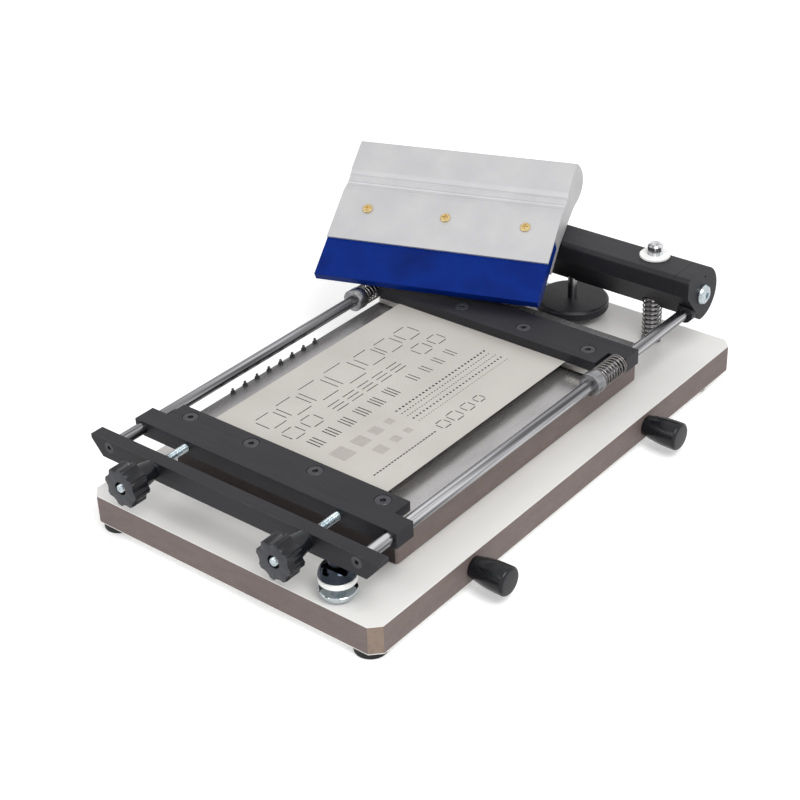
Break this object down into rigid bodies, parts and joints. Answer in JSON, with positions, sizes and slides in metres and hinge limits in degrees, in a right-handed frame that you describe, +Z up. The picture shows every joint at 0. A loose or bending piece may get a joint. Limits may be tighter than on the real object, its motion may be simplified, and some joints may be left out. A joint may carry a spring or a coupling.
{
  "type": "manual stencil printing press",
  "caption": "Tabletop press: a laminated base with a sliding register table, and a hinged tension frame that holds a metal foil stencil; a squeegee leans on it.",
  "frame": {"origin": "centre of the bounding box in plan, on the floor the feet stand on", "axes": "+X to the machine's right, where its handles are; +Y from the front bar to the rear beam; +Z up"},
  "size_m": [0.4758, 0.6468, 0.1994],
  "materials": {
    "board_core": "matte",
    "white_laminate": "satin",
    "rubber": "matte",
    "zinc_steel": "bright zinc",
    "ground_steel": "ground",
    "spring_steel": "drawn",
    "nylon": "satin",
    "chromed_steel": "polished",
    "black_anodised": "black anodised",
    "black_screw": "black oxide",
    "black_plastic": "satin",
    "bare_aluminium": "milled",
    "stainless_foil": "rolled",
    "brass": "turned",
    "clear_anodised": "clear anodised",
    "blue_polyurethane": "satin"
  },
  "bodies": {
    "base": {"base_core": "board_core", "base_laminates": "white_laminate", "rubber_feet": "rubber", "foot_screws": "zinc_steel", "guide_posts": "ground_steel", "post_screws": "zinc_steel", "post_springs": "spring_steel", "thrust_bush": "nylon", "rest_disc": "chromed_steel", "handle_bushes": "nylon"},
    "height_screw": {"height_disc": "black_anodised", "height_spindle": "ground_steel", "spindle_ring": "spring_steel"},
    "beam": {"rear_beam": "black_anodised", "post_bushes": "nylon", "pivot_bolts": "zinc_steel"},
    "frame": {"left_end_block": "black_anodised", "right_end_block": "black_anodised", "left_rod": "ground_steel", "right_rod": "ground_steel", "rod_lock_screws": "black_screw", "front_bar": "black_anodised", "rod_end_screws": "black_screw", "rod_collars": "zinc_steel", "collar_screws": "zinc_steel", "rod_springs": "spring_steel"},
    "rest_foot": {"foot_cup": "chromed_steel", "foot_ring": "nylon", "foot_stud": "zinc_steel"},
    "left_knob": {"left_star_knob": "black_plastic", "left_knob_washer": "zinc_steel"},
    "right_knob": {"right_star_knob": "black_plastic", "right_knob_washer": "zinc_steel"},
    "clamps": {"front_clamp_bar": "black_anodised", "rear_clamp_bar": "black_anodised", "front_jaw": "bare_aluminium", "rear_jaw": "bare_aluminium", "clamp_screws": "black_screw", "stencil_foil": "stainless_foil", "tension_studs": "zinc_steel"},
    "table": {"table_board": "board_core", "table_sheet": "white_laminate", "table_glides": "nylon", "nut_blocks": "brass", "register_pins": "ground_steel"},
    "front_crank": {"front_handle": "black_plastic", "front_spindle": "ground_steel"},
    "rear_crank": {"rear_handle": "black_plastic", "rear_spindle": "ground_steel"},
    "squeegee": {"squeegee_holder": "clear_anodised", "squeegee_blade": "blue_polyurethane", "squeegee_screws": "brass"}
  },
  "joints": [
    {"name": "height_disc_turn", "type": "hinge", "parent": "base", "child": "height_screw", "pos_m": [0.02287, 0.26262, 0.053], "axis": [0, 0, -1], "range_deg": [0, 1922]},
    {"name": "beam_height", "type": "slide", "parent": "base", "child": "beam", "axis": [0, 0, 1], "range_m": [0, 0.008], "deforming": ["post_springs"]},
    {"name": "frame_hinge", "type": "hinge", "parent": "beam", "child": "frame", "pos_m": [0.02287, 0.26262, 0.1105], "axis": [-1, 0, 0], "range_deg": [0, 75]},
    {"name": "rest_foot_turn", "type": "hinge", "parent": "frame", "child": "rest_foot", "pos_m": [0.14037, -0.27238, 0.068], "axis": [0, 0, 1], "range_deg": [-180, 180]},
    {"name": "left_knob_turn", "type": "hinge", "parent": "frame", "child": "left_knob", "pos_m": [-0.06913, -0.31238, 0.092], "axis": [0, 1, 0], "range_deg": [0, 1730]},
    {"name": "right_knob_turn", "type": "hinge", "parent": "frame", "child": "right_knob", "pos_m": [0.11487, -0.31238, 0.092], "axis": [0, 1, 0], "range_deg": [0, 1730]},
    {"name": "clamp_slide", "type": "slide", "parent": "frame", "child": "clamps", "axis": [0, -1, 0], "range_m": [0, 0.006], "deforming": ["rod_springs"]},
    {"name": "front_crank_turn", "type": "hinge", "parent": "base", "child": "front_crank", "pos_m": [0.21787, -0.15538, 0.023], "axis": [-1, 0, 0], "range_deg": [-722, 722]},
    {"name": "rear_crank_turn", "type": "hinge", "parent": "base", "child": "rear_crank", "pos_m": [0.21787, 0.13462, 0.023], "axis": [-1, 0, 0], "range_deg": [-722, 722]},
    {"name": "table_slide", "type": "slide", "parent": "base", "child": "table", "axis": [1, 0, 0], "range_m": [-0.002, 0.002]},
    {"name": "squeegee_lift", "type": "slide", "parent": "clamps", "child": "squeegee", "axis": [0, 0, 1], "range_m": [0, 0.1]}
  ],
  "couplings": [
    {"joint": "height_disc_turn", "follows": "beam_height", "rad_per_m": 4188.8},
    {"joint": "left_knob_turn", "follows": "clamp_slide", "rad_per_m": 5026.5},
    {"joint": "right_knob_turn", "follows": "clamp_slide", "rad_per_m": 5026.5},
    {"joint": "front_crank_turn", "follows": "table_slide", "rad_per_m": 6283.2},
    {"joint": "rear_crank_turn", "follows": "table_slide", "rad_per_m": 6283.2}
  ]
}
